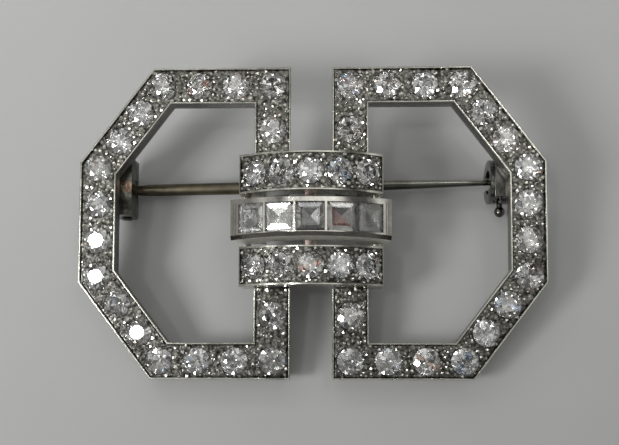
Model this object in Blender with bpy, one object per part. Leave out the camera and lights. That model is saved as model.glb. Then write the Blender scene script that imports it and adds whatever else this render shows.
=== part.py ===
"""Geometric brooch: two open half-octagon frames joined by three arched bars.

The brooch is drawn flat: X runs across it, Y runs up it, and Z points out of
its front, with the lowest point of the catch at z = 0. A parent empty then
leans it back to the way it lies on a table, on the catch and its lower edge.
All lengths are in metres.
"""
import math

import bmesh
import bpy
from mathutils import Matrix, Vector

MM = 0.001

# ---- overall -------------------------------------------------------------
WIDTH = 42.0 * MM
HEIGHT = 28.2 * MM
FRAME_GAP = 3.7 * MM
STRIP = 3.3 * MM
CHAMFER_X = 6.6 * MM
CHAMFER_Y = 8.65 * MM

# ---- levels --------------------------------------------------------------
SEAM = 0.03 * MM
GALLERY_Z0 = 4.40 * MM
GALLERY_Z1 = 5.77 * MM
PLATE_Z0 = GALLERY_Z1 + SEAM
PLATE_Z1 = 6.95 * MM
RIM_Z = 7.10 * MM
GIRDLE_Z = 6.98 * MM

# ---- frame strips --------------------------------------------------------
RIM_WIDTH = 0.20 * MM
RIM_DRAFT = 0.03 * MM
PLATE_TAPER = 0.07 * MM
GALLERY_TOP = 2.96 * MM
GALLERY_BOTTOM = 2.64 * MM
AZURE_TOP = 1.50 * MM
AZURE_BOTTOM = 1.90 * MM
TONGUE_Y = 2.75 * MM
STUB_STONE_Y = 8.40 * MM

# ---- round stones --------------------------------------------------------
STONE_D = 2.44 * MM
BAR_STONE_D = 2.34 * MM
SEAT_GAP = 0.03 * MM
STONE_SIDES = 16
SEAT_SIDES = 12
TABLE_RATIO = 0.55
CROWN_RATIO = 0.15
PAVILION_RATIO = 0.42
GIRDLE_RATIO = 0.02

# ---- arched bars ---------------------------------------------------------
BAR_PITCH = 4.10 * MM
BAR_SIDES = 18
SIDE_CROWN_Z = 10.00 * MM
SIDE_RADIUS = 10.5 * MM
SIDE_HALF_LENGTH = 6.40 * MM
SIDE_WIDTH = 3.35 * MM
SIDE_STONE_PITCH = 2.62 * MM
MID_CROWN_Z = 10.75 * MM
MID_RADIUS = 11.6 * MM
MID_HALF_LENGTH = 7.10 * MM
MID_WIDTH = 3.30 * MM
MID_STONE_PITCH = 2.72 * MM
CARRE = 2.46 * MM
CARRE_DEPTH = 1.00 * MM
BAR_UNDER_Z = 8.10 * MM
BAR_FOOT_Z = GALLERY_Z1 + SEAM
BAR_FOOT_LENGTH = 2.80 * MM
BAR_END_DRAFT = 0.20 * MM
BAR_SIDE_DRAFT = 0.05
BAR_RECESS = 0.13 * MM
BAR_RIM = 0.22 * MM
STRIP_LIFT = 0.02 * MM
STRIP_THICK = 0.06 * MM

# ---- rails that tie the bars together ------------------------------------
RAIL_Y = 5.55 * MM
SIDE_RAIL_X0 = 5.60 * MM
SIDE_RAIL_X1 = 6.30 * MM
SIDE_RAIL_Z0 = 4.90 * MM
CENTRE_RAIL_WIDTH = 1.10 * MM
CENTRE_RAIL_Z0 = 7.20 * MM
CENTRE_RAIL_Y = 4.90 * MM

# ---- hinge and pin -------------------------------------------------------
HINGE_X = -18.0 * MM
HINGE_Y = 3.80 * MM
HINGE_Z = 1.76 * MM
KNUCKLE_R = 1.05 * MM
HINGE_LENGTH = 5.40 * MM
PIN_KNUCKLE_LENGTH = 1.50 * MM
KNUCKLE_GAP = 0.08 * MM
HINGE_PLATE_X = -20.4 * MM
HINGE_PLATE = 0.42 * MM
RIVET_R = 0.36 * MM
RIVET_BORE_R = 0.40 * MM
RIVET_HEAD_R = 0.55 * MM
RIVET_HEAD = 0.18 * MM
PIN_R = 0.58 * MM
PIN_TIP_X = 20.2 * MM
PIN_SIDES = 14

# ---- safety catch --------------------------------------------------------
CATCH_X = 17.80 * MM
CATCH_Y = 4.45 * MM
CATCH_LENGTH = 2.20 * MM
CATCH_R = 2.10 * MM
CATCH_BORE_R = 1.50 * MM
CATCH_LIP_R = 1.15 * MM
CATCH_LIP = 0.22 * MM
CATCH_MOUTH = 1.25 * MM
CATCH_SIDES = 28
WINDOW_FROM = 140.0
WINDOW_TO = 262.0
WINDOW_LENGTH = 0.90 * MM
ROLLER_R = 1.45 * MM
ROLLER_BORE_R = 0.62 * MM
ROLLER_LENGTH = 1.66 * MM
ROLLER_MOUTH = 0.95 * MM
LEVER_R = 0.28 * MM
LEVER_KNOB_R = 0.52 * MM
LEVER_REACH = 2.85 * MM
SADDLE_HALF = 1.75 * MM
SADDLE_Z0 = 3.10 * MM


# ---- materials -----------------------------------------------------------
def metal(name, colour, roughness):
    mat = bpy.data.materials.new(name)
    mat.use_nodes = True
    shader = mat.node_tree.nodes["Principled BSDF"]
    shader.inputs["Base Color"].default_value = (*colour, 1.0)
    shader.inputs["Metallic"].default_value = 1.0
    shader.inputs["Roughness"].default_value = roughness
    return mat


def gem(name, colour):
    mat = bpy.data.materials.new(name)
    mat.use_nodes = True
    shader = mat.node_tree.nodes["Principled BSDF"]
    shader.inputs["Base Color"].default_value = (*colour, 1.0)
    shader.inputs["Metallic"].default_value = 0.0
    shader.inputs["Roughness"].default_value = 0.02
    shader.inputs["IOR"].default_value = 2.42
    shader.inputs["Transmission Weight"].default_value = 0.8
    return mat


# ---- mesh helpers --------------------------------------------------------
def add_object(name, bm, mat, origin=(0.0, 0.0, 0.0), smooth=False):
    """Turns a bmesh in world coordinates into an object with its own origin."""
    bmesh.ops.recalc_face_normals(bm, faces=bm.faces)
    bmesh.ops.translate(bm, verts=bm.verts, vec=-Vector(origin))
    mesh = bpy.data.meshes.new(name)
    bm.to_mesh(mesh)
    bm.free()
    obj = bpy.data.objects.new(name, mesh)
    obj.location = origin
    obj.parent = LEAN
    bpy.context.collection.objects.link(obj)
    if mat is not None:
        mesh.materials.append(mat)
    if smooth:
        mesh.shade_smooth()
        mesh.set_sharp_from_angle(angle=math.radians(32))
    return obj


def as_cutter(obj):
    obj.hide_render = True
    obj.display_type = "WIRE"
    return obj


def boolean(obj, other, operation):
    mod = obj.modifiers.new(operation.title(), "BOOLEAN")
    mod.operation = operation
    mod.solver = "EXACT"
    mod.object = other
    return mod


def loft(bm, rings, closed=False):
    """Joins equal rings of points with quads and caps the two ends."""
    made = [[bm.verts.new(p) for p in ring] for ring in rings]
    count = len(made[0])
    pairs = list(zip(made, made[1:]))
    if closed:
        pairs.append((made[-1], made[0]))
    for a, b in pairs:
        for i in range(count):
            j = (i + 1) % count
            bm.faces.new((a[i], a[j], b[j], b[i]))
    if not closed:
        bm.faces.new(made[0][::-1])
        bm.faces.new(made[-1])
    return made


def box(bm, x0, x1, y0, y1, z0, z1):
    ring = [(x0, y0), (x1, y0), (x1, y1), (x0, y1)]
    loft(bm, [[(x, y, z) for x, y in ring] for z in (z0, z1)])


def circle(radius, sides, turn=0.0):
    step = 2.0 * math.pi / sides
    return [
        (radius * math.cos(turn + i * step), radius * math.sin(turn + i * step))
        for i in range(sides)
    ]


def turned(bm, profile, sides, place):
    """Revolves (height, radius) pairs round the local Z axis of a matrix."""
    rings = [[place @ Vector((x, y, h)) for x, y in circle(r, sides)] for h, r in profile]
    loft(bm, rings)


def ring_depth(radius, sides, half):
    """How far a faceted ring reaches below its axis beside a slot of that half width."""
    step = 2.0 * math.pi / sides
    k = int(math.asin(half / radius) / step)
    x0, z0 = radius * math.sin(k * step), radius * math.cos(k * step)
    x1, z1 = radius * math.sin((k + 1) * step), radius * math.cos((k + 1) * step)
    return z0 + (z1 - z0) * (half - x0) / (x1 - x0)


# ---- the path of a frame -------------------------------------------------
def frame_path(side, stub_y):
    """Centre line of one frame, from the upper stub round to the lower stub."""
    half = STRIP / 2.0
    x_in = FRAME_GAP / 2.0 + half
    x_out = WIDTH / 2.0 - half
    y_top = HEIGHT / 2.0 - half
    nx = CHAMFER_Y / math.hypot(CHAMFER_X, CHAMFER_Y)
    ny = CHAMFER_X / math.hypot(CHAMFER_X, CHAMFER_Y)
    reach = nx * (WIDTH / 2.0 - CHAMFER_X) + ny * HEIGHT / 2.0 - half
    bend_x = (reach - ny * y_top) / nx
    bend_y = (reach - nx * x_out) / ny
    points = [
        (x_in, stub_y),
        (x_in, y_top),
        (bend_x, y_top),
        (x_out, bend_y),
        (x_out, -bend_y),
        (bend_x, -y_top),
        (x_in, -y_top),
        (x_in, -stub_y),
    ]
    return [Vector((side * x, y)) for x, y in points]


def mitres(path):
    """Unit-width mitre vector at each point of an open path."""
    normals = []
    for a, b in zip(path, path[1:]):
        d = (b - a).normalized()
        normals.append(Vector((-d.y, d.x)))
    out = [normals[0]]
    for a, b in zip(normals, normals[1:]):
        out.append((a + b) / (1.0 + a.dot(b)))
    out.append(normals[-1])
    return out


def sweep(bm, path, profile):
    """Runs a closed (offset, height) profile along the path with mitred corners."""
    rings = []
    for point, mitre in zip(path, mitres(path)):
        rings.append(
            [(point.x + mitre.x * u, point.y + mitre.y * u, z) for u, z in profile]
        )
    loft(bm, rings)


def frame_stones(side):
    """Centre and local direction of each stone of one frame, in order."""
    path = frame_path(side, STUB_STONE_Y)
    counts = (1, 3, 3, 3, 3, 3, 1)
    spots = [(path[0], path[1] - path[0])]
    for a, b, count in zip(path, path[1:], counts):
        for i in range(count):
            spots.append((a.lerp(b, (i + 1) / count), b - a))
    return spots


# ---- stones and their seats ----------------------------------------------
def round_stone(bm, diameter, place):
    """Brilliant with an octagonal table, a thin girdle and a pointed culet."""
    r = diameter / 2.0
    half = diameter * GIRDLE_RATIO / 2.0
    crown = diameter * CROWN_RATIO
    pavilion = diameter * PAVILION_RATIO
    rings = []
    for z in (-half, half):
        ring = [place @ Vector((x, y, z)) for x, y in circle(r, STONE_SIDES)]
        rings.append([bm.verts.new(p) for p in ring])
    table = [
        bm.verts.new(place @ Vector((x, y, crown)))
        for x, y in circle(r * TABLE_RATIO, STONE_SIDES // 2)
    ]
    culet = bm.verts.new(place @ Vector((0.0, 0.0, -pavilion)))
    low, high = rings
    n = STONE_SIDES
    for i in range(n):
        j = (i + 1) % n
        bm.faces.new((low[i], low[j], high[j], high[i]))
        bm.faces.new((low[j], low[i], culet))
    for i in range(n // 2):
        a, b, c = high[2 * i], high[2 * i + 1], high[(2 * i + 2) % n]
        t, s = table[i], table[(i + 1) % (n // 2)]
        bm.faces.new((a, b, t))
        bm.faces.new((b, s, t))
        bm.faces.new((b, c, s))
    bm.faces.new(table)


def round_seat(bm, diameter, depth, place):
    """Cutter for one seat: a short straight mouth over a cone."""
    r = (diameter / 2.0 + SEAT_GAP) / math.cos(math.pi / SEAT_SIDES)
    lip = diameter * 0.03
    profile = [(-depth, r * 0.42), (-lip, r), (0.9 * MM, r)]
    turned(bm, profile, SEAT_SIDES, place)


def square_ring(half, z, place):
    corners = ((-half, -half), (half, -half), (half, half), (-half, half))
    return [place @ Vector((x, y, z)) for x, y in corners]


def carre_stone(bm, place):
    """Square step cut: table, one crown step, girdle and two pavilion steps."""
    h = CARRE / 2.0
    d = CARRE_DEPTH
    levels = [
        (0.16 * h, -d),
        (0.66 * h, -0.62 * d),
        (h, -0.03 * MM),
        (h, 0.03 * MM),
        (0.60 * h, 0.26 * MM),
    ]
    loft(bm, [square_ring(half, z, place) for half, z in levels])


def carre_seat(bm, place):
    h = CARRE / 2.0 + SEAT_GAP
    d = CARRE_DEPTH + 0.15 * MM
    levels = [(0.40 * h, -d), (h, -0.10 * MM), (h, 0.80 * MM)]
    loft(bm, [square_ring(half, z, place) for half, z in levels])


# ---- bars ----------------------------------------------------------------
def arc_point(radius, centre_z, angle):
    return radius * math.sin(angle), centre_z + radius * math.cos(angle)


def arc(radius, centre_z, x_limit, sides):
    """Points of an arch from +x_limit to -x_limit."""
    end = math.asin(x_limit / radius)
    steps = [end - 2.0 * end * i / sides for i in range(sides + 1)]
    return [arc_point(radius, centre_z, a) for a in steps]


def bar_body(bm, crown_z, radius, half_length, width, y):
    """Arched bar on two feet, its side walls drafted outwards to the base."""
    centre_z = crown_z - radius
    inner_r = BAR_UNDER_Z - centre_z
    foot_out = half_length - BAR_END_DRAFT
    foot_in = foot_out - BAR_FOOT_LENGTH
    under = arc(inner_r, centre_z, foot_in, BAR_SIDES // 2)
    outline = arc(radius, centre_z, half_length, BAR_SIDES)
    outline.append((-foot_out, BAR_FOOT_Z))
    outline.append((-foot_in, BAR_FOOT_Z))
    outline.extend(reversed(under))
    outline.append((foot_in, BAR_FOOT_Z))
    outline.append((foot_out, BAR_FOOT_Z))
    rings = []
    for side in (-1.0, 1.0):
        ring = []
        for x, z in outline:
            out = width / 2.0 + BAR_SIDE_DRAFT * (crown_z - z)
            ring.append((x, y + side * out, z))
        rings.append(ring)
    loft(bm, rings)


def bar_places(radius, crown_z, y, pitch, lift=0.0):
    """Matrices of the five stones of a bar, each square to the arch."""
    out = []
    centre_z = crown_z - radius
    for i in range(5):
        angle = (i - 2) * pitch / radius
        x, z = arc_point(radius + lift, centre_z, angle)
        out.append(Matrix.Translation((x, y, z)) @ Matrix.Rotation(angle, 4, "Y"))
    return out


def bar_recess(bm, radius, crown_z, half_length, width, y):
    """Cutter that sinks the face of a bar between its rims."""
    centre_z = crown_z - radius
    end = math.asin(half_length / radius) - BAR_RIM / radius
    half = width / 2.0 - BAR_RIM
    rings = []
    for i in range(BAR_SIDES + 1):
        a = end - 2.0 * end * i / BAR_SIDES
        lo = arc_point(radius - BAR_RECESS, centre_z, a)
        hi = arc_point(radius + 0.6 * MM, centre_z, a)
        rings.append(
            [
                (lo[0], y - half, lo[1]),
                (lo[0], y + half, lo[1]),
                (hi[0], y + half, hi[1]),
                (hi[0], y - half, hi[1]),
            ]
        )
    loft(bm, rings)


def grain_strip(bm, radius, crown_z, half_length, width, y):
    """Thin arched strip that lies between the rims and carries the stones."""
    centre_z = crown_z - radius
    low = radius - BAR_RECESS + STRIP_LIFT
    end = math.asin(half_length / radius) - (BAR_RIM + SEAM) / radius
    half = width / 2.0 - BAR_RIM - SEAM
    rings = []
    for i in range(BAR_SIDES + 1):
        a = end - 2.0 * end * i / BAR_SIDES
        lo = arc_point(low, centre_z, a)
        hi = arc_point(low + STRIP_THICK, centre_z, a)
        rings.append(
            [
                (lo[0], y - half, lo[1]),
                (lo[0], y + half, lo[1]),
                (hi[0], y + half, hi[1]),
                (hi[0], y - half, hi[1]),
            ]
        )
    loft(bm, rings)


# ---- clean slate ---------------------------------------------------------
for old in list(bpy.data.objects):
    bpy.data.objects.remove(old, do_unlink=True)

# ---- the way it lies on a table --------------------------------------------
edge_y = (HEIGHT - STRIP + GALLERY_BOTTOM) / 2.0
catch_touch_y = CATCH_Y - CATCH_MOUTH / 2.0
lean_angle = math.atan2(GALLERY_Z0, catch_touch_y + edge_y)
lean_cos = math.cos(lean_angle)
lean_sin = math.sin(lean_angle)
top_reach = edge_y * lean_cos - GALLERY_Z0 * lean_sin
low_reach = -HEIGHT / 2.0 * lean_cos - RIM_Z * lean_sin
LEAN = bpy.data.objects.new("lying_on_its_back", None)
LEAN.rotation_euler = (lean_angle, 0.0, 0.0)
LEAN.location = (0.0, -(top_reach + low_reach) / 2.0, -catch_touch_y * lean_sin)
LEAN.empty_display_size = 5.0 * MM
bpy.context.collection.objects.link(LEAN)

PLATINUM = metal("platinum_setting", (0.56, 0.56, 0.53), 0.24)
GALLERY_METAL = metal("platinum_gallery", (0.44, 0.44, 0.41), 0.32)
CHANNEL_METAL = metal("platinum_channel", (0.62, 0.62, 0.58), 0.16)
FITTING_METAL = metal("fitting_grey", (0.34, 0.34, 0.32), 0.35)
PIN_METAL = metal("pin_white_gold", (0.50, 0.45, 0.39), 0.28)
DIAMOND = gem("diamond_round", (0.86, 0.87, 0.86))
CARRE_DIAMOND = gem("diamond_square", (0.80, 0.81, 0.80))

# ---- frames: setting plate and gallery, left and right ---------------------
half_top = STRIP / 2.0
half_low = half_top - PLATE_TAPER
rim_in = half_top - RIM_WIDTH
floor_in = rim_in - RIM_DRAFT
PLATE_PROFILE = [
    (-half_low, PLATE_Z0),
    (half_low, PLATE_Z0),
    (half_top, RIM_Z),
    (rim_in, RIM_Z),
    (floor_in, PLATE_Z1),
    (-floor_in, PLATE_Z1),
    (-rim_in, RIM_Z),
    (-half_top, RIM_Z),
]
GALLERY_PROFILE = [
    (-GALLERY_BOTTOM / 2.0, GALLERY_Z0),
    (GALLERY_BOTTOM / 2.0, GALLERY_Z0),
    (GALLERY_TOP / 2.0, GALLERY_Z1),
    (-GALLERY_TOP / 2.0, GALLERY_Z1),
]
bar_wall = BAR_PITCH + SIDE_WIDTH / 2.0 + BAR_SIDE_DRAFT * (SIDE_CROWN_Z - PLATE_Z0)
STUB_Y = bar_wall + SEAM

for side, label in ((-1.0, "left"), (1.0, "right")):
    body = bmesh.new()
    sweep(body, frame_path(side, STUB_Y), PLATE_PROFILE)
    plate = add_object("frame_" + label, body, PLATINUM)

    seats = bmesh.new()
    azures = bmesh.new()
    for number, (spot, way) in enumerate(frame_stones(side), start=1):
        turn = Matrix.Rotation(math.atan2(way.y, way.x), 4, "Z")
        place = Matrix.Translation((spot.x, spot.y, GIRDLE_Z)) @ turn
        round_seat(seats, STONE_D, GIRDLE_Z - PLATE_Z0 + 0.1 * MM, place)
        stone = bmesh.new()
        round_stone(stone, STONE_D, place)
        add_object(
            "stone_%s_%02d" % (label, number), stone, DIAMOND, (spot.x, spot.y, GIRDLE_Z)
        )
        at = Matrix.Translation((spot.x, spot.y, 0.0)) @ turn
        grow = (AZURE_BOTTOM - AZURE_TOP) / (GALLERY_Z1 - GALLERY_Z0) / 2.0
        low = GALLERY_Z0 - 0.3 * MM
        high = GALLERY_Z1 + 0.3 * MM
        half_a = AZURE_BOTTOM / 2.0 + grow * 0.3 * MM
        half_b = AZURE_TOP / 2.0 - grow * 0.3 * MM
        loft(azures, [square_ring(half_a, low, at), square_ring(half_b, high, at)])
    seat_cutter = as_cutter(add_object("cut_seats_" + label, seats, None))
    boolean(plate, seat_cutter, "DIFFERENCE")

    body = bmesh.new()
    sweep(body, frame_path(side, TONGUE_Y), GALLERY_PROFILE)
    gallery = add_object("gallery_" + label, body, GALLERY_METAL)
    azure_cutter = as_cutter(add_object("cut_azures_" + label, azures, None))
    boolean(gallery, azure_cutter, "DIFFERENCE")

# ---- upper and lower bars with round stones --------------------------------
for label, y in (("upper", BAR_PITCH), ("lower", -BAR_PITCH)):
    body = bmesh.new()
    bar_body(body, SIDE_CROWN_Z, SIDE_RADIUS, SIDE_HALF_LENGTH, SIDE_WIDTH, y)
    bar = add_object("bar_" + label, body, PLATINUM)
    recess = bmesh.new()
    bar_recess(recess, SIDE_RADIUS, SIDE_CROWN_Z, SIDE_HALF_LENGTH, SIDE_WIDTH, y)
    boolean(bar, as_cutter(add_object("cut_recess_" + label, recess, None)), "DIFFERENCE")
    seats = bmesh.new()
    stones = bmesh.new()
    lift = STRIP_LIFT + STRIP_THICK / 2.0 - BAR_RECESS
    for place in bar_places(SIDE_RADIUS, SIDE_CROWN_Z, y, SIDE_STONE_PITCH, lift):
        round_seat(seats, BAR_STONE_D, BAR_STONE_D * PAVILION_RATIO + 0.12 * MM, place)
        round_stone(stones, BAR_STONE_D, place)
    boolean(bar, as_cutter(add_object("cut_seats_" + label, seats, None)), "DIFFERENCE")
    body = bmesh.new()
    grain_strip(body, SIDE_RADIUS, SIDE_CROWN_Z, SIDE_HALF_LENGTH, SIDE_WIDTH, y)
    row = add_object("stone_row_" + label, body, DIAMOND)
    boolean(row, as_cutter(add_object("add_stones_" + label, stones, None)), "UNION")

# ---- middle bar with a channel of square stones ----------------------------
body = bmesh.new()
bar_body(body, MID_CROWN_Z, MID_RADIUS, MID_HALF_LENGTH, MID_WIDTH, 0.0)
middle = add_object("bar_middle", body, CHANNEL_METAL)
seats = bmesh.new()
places = bar_places(MID_RADIUS, MID_CROWN_Z, 0.0, MID_STONE_PITCH, -0.05 * MM)
for number, place in enumerate(places, start=1):
    carre_seat(seats, place)
    stone = bmesh.new()
    carre_stone(stone, place)
    add_object("stone_square_%02d" % number, stone, CARRE_DIAMOND, place.translation)
boolean(middle, as_cutter(add_object("cut_channel", seats, None)), "DIFFERENCE")

# ---- rails under the bars --------------------------------------------------
rail_top = BAR_FOOT_Z - SEAM
for side, label in ((-1.0, "left"), (1.0, "right")):
    body = bmesh.new()
    xs = sorted((side * SIDE_RAIL_X0, side * SIDE_RAIL_X1))
    box(body, xs[0], xs[1], -RAIL_Y, RAIL_Y, SIDE_RAIL_Z0, rail_top)
    add_object("bridge_rail_" + label, body, PLATINUM)
body = bmesh.new()
half = CENTRE_RAIL_WIDTH / 2.0
crown_sag = 0.07 * MM
box(
    body,
    -half,
    half,
    -CENTRE_RAIL_Y,
    CENTRE_RAIL_Y,
    CENTRE_RAIL_Z0,
    BAR_UNDER_Z - crown_sag,
)
add_object("bridge_rail_centre", body, PLATINUM)

# ---- hinge base with two knuckles ------------------------------------------
ALONG_Y = Matrix.Rotation(math.radians(-90.0), 4, "X")
hinge_at = Vector((HINGE_X, HINGE_Y, HINGE_Z))
plate_top = GALLERY_Z0 - SEAM
outline = [(HINGE_PLATE_X, plate_top), (HINGE_PLATE_X, plate_top - HINGE_PLATE)]
outline.append((HINGE_X - KNUCKLE_R, plate_top - HINGE_PLATE))
for i in range(13):
    a = math.pi + math.pi * i / 12
    outline.append((HINGE_X + KNUCKLE_R * math.cos(a), HINGE_Z + KNUCKLE_R * math.sin(a)))
outline.append((HINGE_X + KNUCKLE_R, plate_top))
body = bmesh.new()
ends = (HINGE_Y - HINGE_LENGTH / 2.0, HINGE_Y + HINGE_LENGTH / 2.0)
loft(body, [[(x, y, z) for x, z in outline] for y in ends])
hinge = add_object("hinge_base", body, FITTING_METAL, smooth=True)

slot = PIN_KNUCKLE_LENGTH / 2.0 + KNUCKLE_GAP
cut = bmesh.new()
box(
    cut,
    HINGE_X - 3.0 * MM,
    HINGE_X + 3.0 * MM,
    HINGE_Y - slot,
    HINGE_Y + slot,
    HINGE_Z - 3.0 * MM,
    HINGE_Z + KNUCKLE_R + 0.2 * MM,
)
boolean(hinge, as_cutter(add_object("cut_hinge_slot", cut, None)), "DIFFERENCE")
cut = bmesh.new()
reach = HINGE_LENGTH / 2.0 + 1.0 * MM
turned(
    cut,
    [(-reach, RIVET_BORE_R), (reach, RIVET_BORE_R)],
    16,
    Matrix.Translation(hinge_at) @ ALONG_Y,
)
boolean(hinge, as_cutter(add_object("cut_hinge_bore", cut, None)), "DIFFERENCE")

# ---- rivet -----------------------------------------------------------------
body = bmesh.new()
shank = HINGE_LENGTH / 2.0 + SEAM
end = shank + RIVET_HEAD
profile = [
    (-end, RIVET_HEAD_R * 0.7),
    (-end + RIVET_HEAD * 0.5, RIVET_HEAD_R),
    (-shank, RIVET_HEAD_R),
    (-shank, RIVET_R),
    (shank, RIVET_R),
    (shank, RIVET_HEAD_R),
    (end - RIVET_HEAD * 0.5, RIVET_HEAD_R),
    (end, RIVET_HEAD_R * 0.7),
]
turned(body, profile, 16, Matrix.Translation(hinge_at) @ ALONG_Y)
add_object("hinge_rivet", body, FITTING_METAL, hinge_at, smooth=True)

# ---- pin stem with its knuckle, origin on the hinge axis -------------------
CATCH_Z = ring_depth(CATCH_R, CATCH_SIDES, CATCH_MOUTH / 2.0)
catch_at = Vector((CATCH_X, CATCH_Y, CATCH_Z))
along = (catch_at - hinge_at).normalized()
stem_turn = along.to_track_quat("Z", "Y").to_matrix().to_4x4()
stem_length = (PIN_TIP_X - HINGE_X) / along.x
STEM = [
    (0.00, 0.62),
    (0.05, 0.95),
    (0.08, 1.00),
    (0.58, 1.00),
    (0.70, 0.88),
    (0.82, 0.66),
    (0.92, 0.47),
    (0.97, 0.34),
    (1.00, 0.08),
]
body = bmesh.new()
profile = [(f * stem_length, k * PIN_R) for f, k in STEM]
turned(body, profile, PIN_SIDES, Matrix.Translation(hinge_at) @ stem_turn)
pin = add_object("pin_stem", body, PIN_METAL, hinge_at, smooth=True)

body = bmesh.new()
half = PIN_KNUCKLE_LENGTH / 2.0
knuckle = [(-half, KNUCKLE_R * 0.98), (half, KNUCKLE_R * 0.98)]
turned(body, knuckle, 24, Matrix.Translation(hinge_at) @ ALONG_Y)
boolean(pin, as_cutter(add_object("add_pin_knuckle", body, None)), "UNION")
cut = bmesh.new()
turned(
    cut,
    [(-reach, RIVET_BORE_R), (reach, RIVET_BORE_R)],
    16,
    Matrix.Translation(hinge_at) @ ALONG_Y,
)
boolean(pin, as_cutter(add_object("cut_pin_bore", cut, None)), "DIFFERENCE")

# ---- catch: saddle, outer ring and turning roller --------------------------
ALONG_X = Matrix.Rotation(math.radians(90.0), 4, "Y")
catch_place = Matrix.Translation(catch_at) @ ALONG_X


def tube(bm, profile, sides):
    """Closed ring: (axial, radius) points revolved round the catch's X axis."""
    rings = []
    for i in range(sides):
        a = 2.0 * math.pi * i / sides
        rings.append(
            [
                catch_at + Vector((h, r * math.cos(a), r * math.sin(a)))
                for h, r in profile
            ]
        )
    loft(bm, rings, closed=True)


body = bmesh.new()
box(
    body,
    CATCH_X - 0.85 * MM,
    CATCH_X + 2.2 * MM,
    CATCH_Y - SADDLE_HALF,
    CATCH_Y + SADDLE_HALF,
    SADDLE_Z0,
    plate_top,
)
saddle = add_object("catch_base", body, FITTING_METAL)
cut = bmesh.new()
reach = 4.0 * MM
saddle_r = (CATCH_R + SEAM) / math.cos(math.pi / CATCH_SIDES)
turned(cut, [(-reach, saddle_r), (reach, saddle_r)], CATCH_SIDES, catch_place)
boolean(saddle, as_cutter(add_object("cut_saddle", cut, None)), "DIFFERENCE")

half = CATCH_LENGTH / 2.0
lip = half - CATCH_LIP
body = bmesh.new()
tube(
    body,
    [
        (-half, CATCH_LIP_R),
        (-half, CATCH_R),
        (half, CATCH_R),
        (half, CATCH_LIP_R),
        (lip, CATCH_LIP_R),
        (lip, CATCH_BORE_R),
        (-lip, CATCH_BORE_R),
        (-lip, CATCH_LIP_R),
    ],
    CATCH_SIDES,
)
ring = add_object("catch_ring", body, FITTING_METAL, catch_at, smooth=True)
cut = bmesh.new()
box(
    cut,
    CATCH_X - reach,
    CATCH_X + reach,
    CATCH_Y - CATCH_MOUTH / 2.0,
    CATCH_Y + CATCH_MOUTH / 2.0,
    CATCH_Z - reach,
    CATCH_Z,
)
boolean(ring, as_cutter(add_object("cut_ring_mouth", cut, None)), "DIFFERENCE")
cut = bmesh.new()
sections = []
steps = 10
for i in range(steps + 1):
    a = math.radians(WINDOW_FROM + (WINDOW_TO - WINDOW_FROM) * i / steps)
    section = []
    for x, r in (
        (-WINDOW_LENGTH / 2.0, 1.3 * MM),
        (WINDOW_LENGTH / 2.0, 1.3 * MM),
        (WINDOW_LENGTH / 2.0, 2.6 * MM),
        (-WINDOW_LENGTH / 2.0, 2.6 * MM),
    ):
        section.append(catch_at + Vector((x, r * math.cos(a), r * math.sin(a))))
    sections.append(section)
loft(cut, sections)
boolean(ring, as_cutter(add_object("cut_ring_window", cut, None)), "DIFFERENCE")

half = ROLLER_LENGTH / 2.0
body = bmesh.new()
tube(
    body,
    [
        (-half, ROLLER_BORE_R),
        (-half, ROLLER_R),
        (half, ROLLER_R),
        (half, ROLLER_BORE_R),
    ],
    CATCH_SIDES,
)
roller = add_object("catch_roller", body, FITTING_METAL, catch_at, smooth=True)
cut = bmesh.new()
box(
    cut,
    CATCH_X - reach,
    CATCH_X + reach,
    CATCH_Y - ROLLER_MOUTH / 2.0,
    CATCH_Y + ROLLER_MOUTH / 2.0,
    CATCH_Z - reach,
    CATCH_Z,
)
boolean(roller, as_cutter(add_object("cut_roller_mouth", cut, None)), "DIFFERENCE")
body = bmesh.new()
TO_MINUS_Y = Matrix.Rotation(math.radians(90.0), 4, "X")
profile = [(1.0 * MM, LEVER_R), (LEVER_REACH - LEVER_KNOB_R * 0.8, LEVER_R)]
for i in range(1, 6):
    a = math.radians(-50.0 + 28.0 * (i - 1))
    rise = LEVER_REACH + LEVER_KNOB_R * math.sin(a)
    profile.append((rise, LEVER_KNOB_R * math.cos(a)))
profile.append((LEVER_REACH + LEVER_KNOB_R * 0.99, LEVER_KNOB_R * 0.12))
turned(body, profile, 12, Matrix.Translation(catch_at) @ TO_MINUS_Y)
boolean(roller, as_cutter(add_object("add_lever", body, None)), "UNION")
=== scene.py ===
import math
import random

import bmesh
import bpy
from mathutils import Matrix, Vector


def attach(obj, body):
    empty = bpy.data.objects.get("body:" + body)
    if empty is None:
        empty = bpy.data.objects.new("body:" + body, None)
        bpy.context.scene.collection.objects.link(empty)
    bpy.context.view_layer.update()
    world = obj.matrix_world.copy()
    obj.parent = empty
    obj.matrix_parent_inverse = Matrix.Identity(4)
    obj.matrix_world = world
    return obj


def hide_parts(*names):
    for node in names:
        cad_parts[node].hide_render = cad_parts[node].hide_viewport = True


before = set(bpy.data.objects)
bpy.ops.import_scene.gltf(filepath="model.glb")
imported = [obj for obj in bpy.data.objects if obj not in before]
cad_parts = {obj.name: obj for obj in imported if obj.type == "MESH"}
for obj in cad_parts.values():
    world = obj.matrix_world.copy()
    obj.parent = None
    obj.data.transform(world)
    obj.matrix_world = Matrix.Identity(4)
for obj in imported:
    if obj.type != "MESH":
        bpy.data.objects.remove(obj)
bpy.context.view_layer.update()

MM = 0.001

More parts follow.
